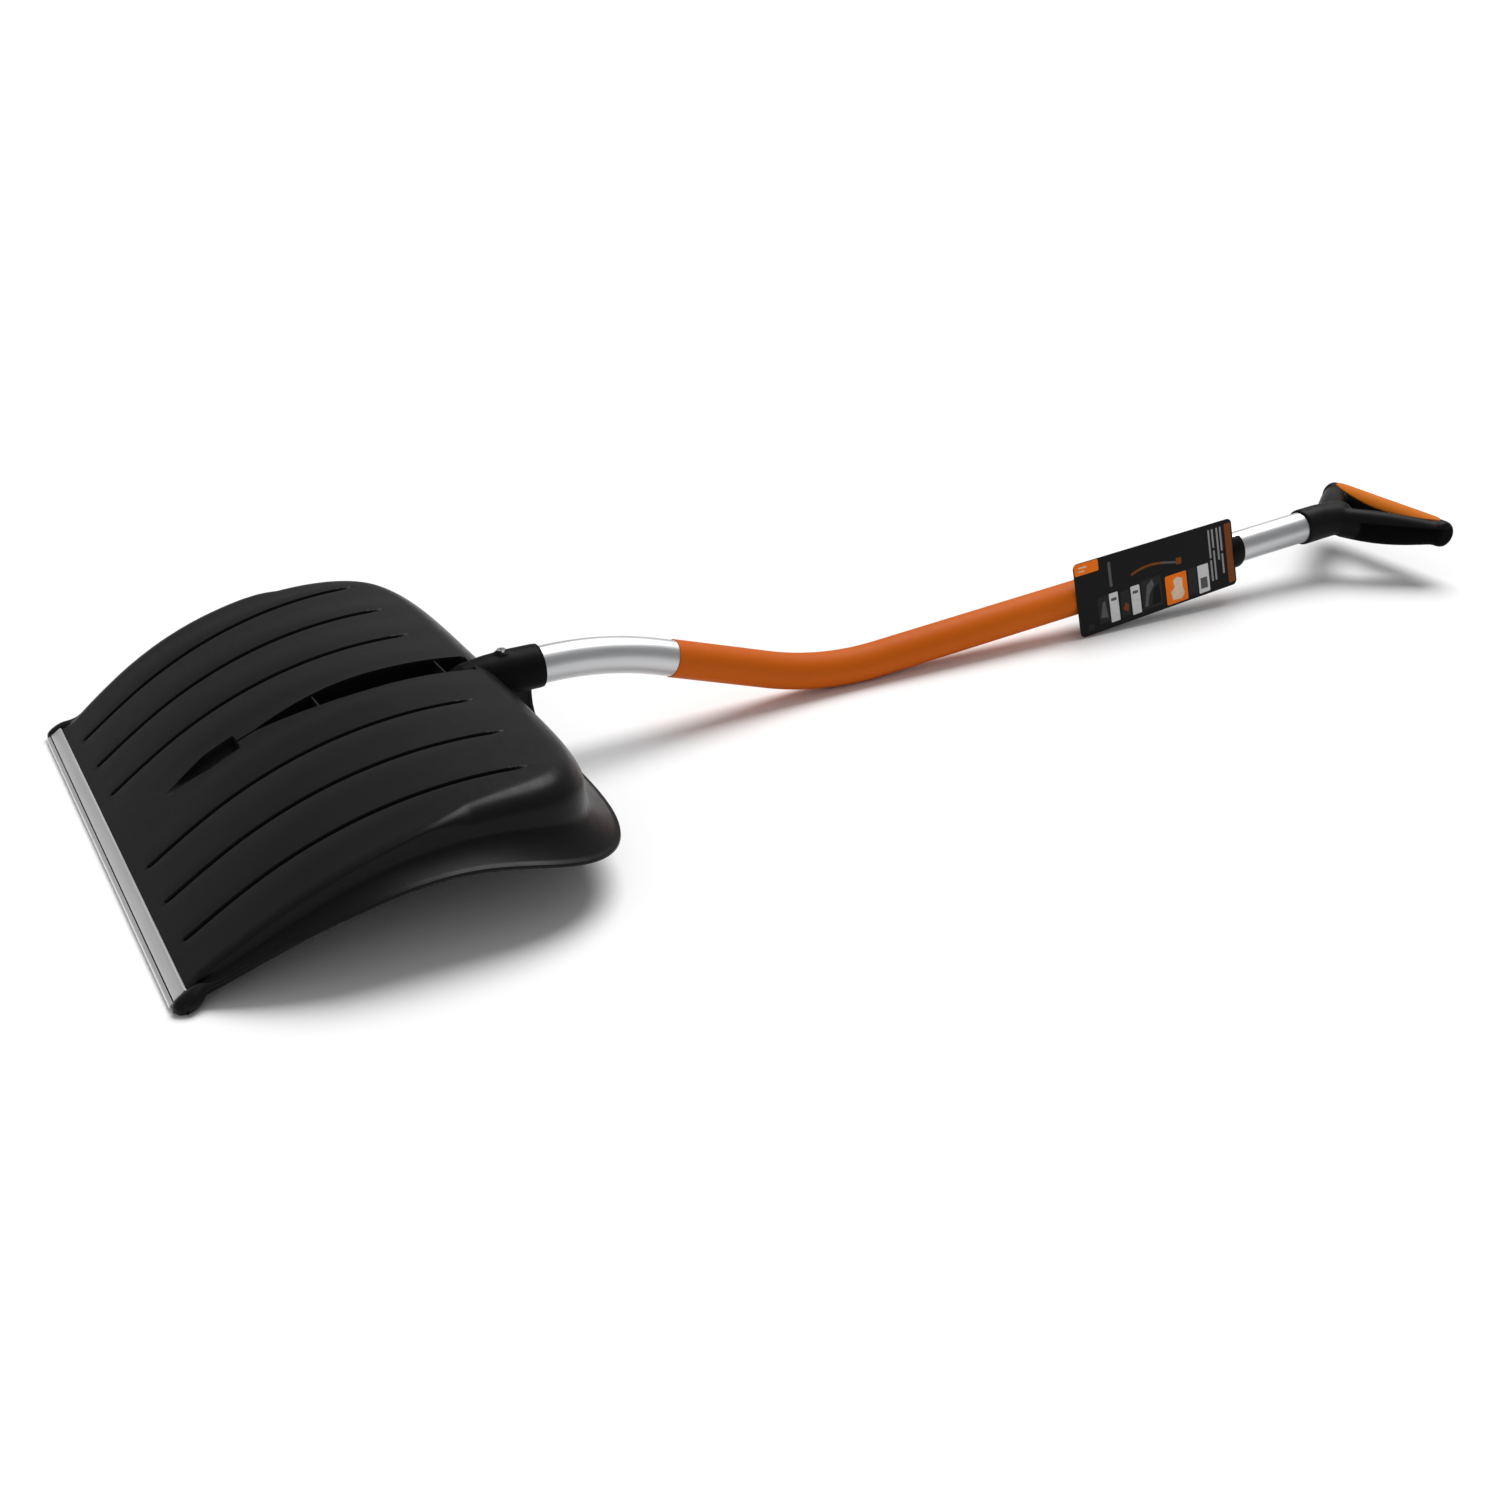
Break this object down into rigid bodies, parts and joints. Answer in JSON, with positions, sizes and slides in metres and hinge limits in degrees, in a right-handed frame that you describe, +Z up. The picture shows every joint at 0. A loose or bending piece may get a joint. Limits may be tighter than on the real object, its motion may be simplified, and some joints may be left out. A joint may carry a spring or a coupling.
{
  "type": "snow shovel",
  "caption": "Snow shovel with a curved moulded scoop, an aluminium wear strip, an S-bent tubular shaft with a coloured sleeve and a hanging card, and a D-shaped hand grip.",
  "frame": {"origin": "on the floor that the shovel lies on, scoop side down, under the middle of its bounding box", "axes": "+X from the cutting edge to the grip, +Y across the blade, +Z up"},
  "size_m": [1.2782, 0.517, 0.0981],
  "materials": {
    "blade_plastic": "satin moulded polypropylene",
    "socket_plastic": "satin moulded polypropylene",
    "strip_aluminium": "satin anodised",
    "screw_steel": "zinc plated",
    "tube_aluminium": "satin anodised",
    "sleeve_orange": "satin shrink sleeve",
    "clip_plastic": "matte",
    "card_print": "coated printed card",
    "grip_plastic": "matte moulded",
    "grip_soft": "soft touch"
  },
  "bodies": {
    "root": {"blade_shell": "blade_plastic", "shaft_socket": "socket_plastic", "wear_strip": "strip_aluminium", "socket_screw": "screw_steel", "shaft_tube": "tube_aluminium", "shaft_sleeve": "sleeve_orange", "sleeve_clip": "clip_plastic", "product_card": "card_print", "grip_body": "grip_plastic", "grip_pad": "grip_soft"}
  },
  "joints": []
}
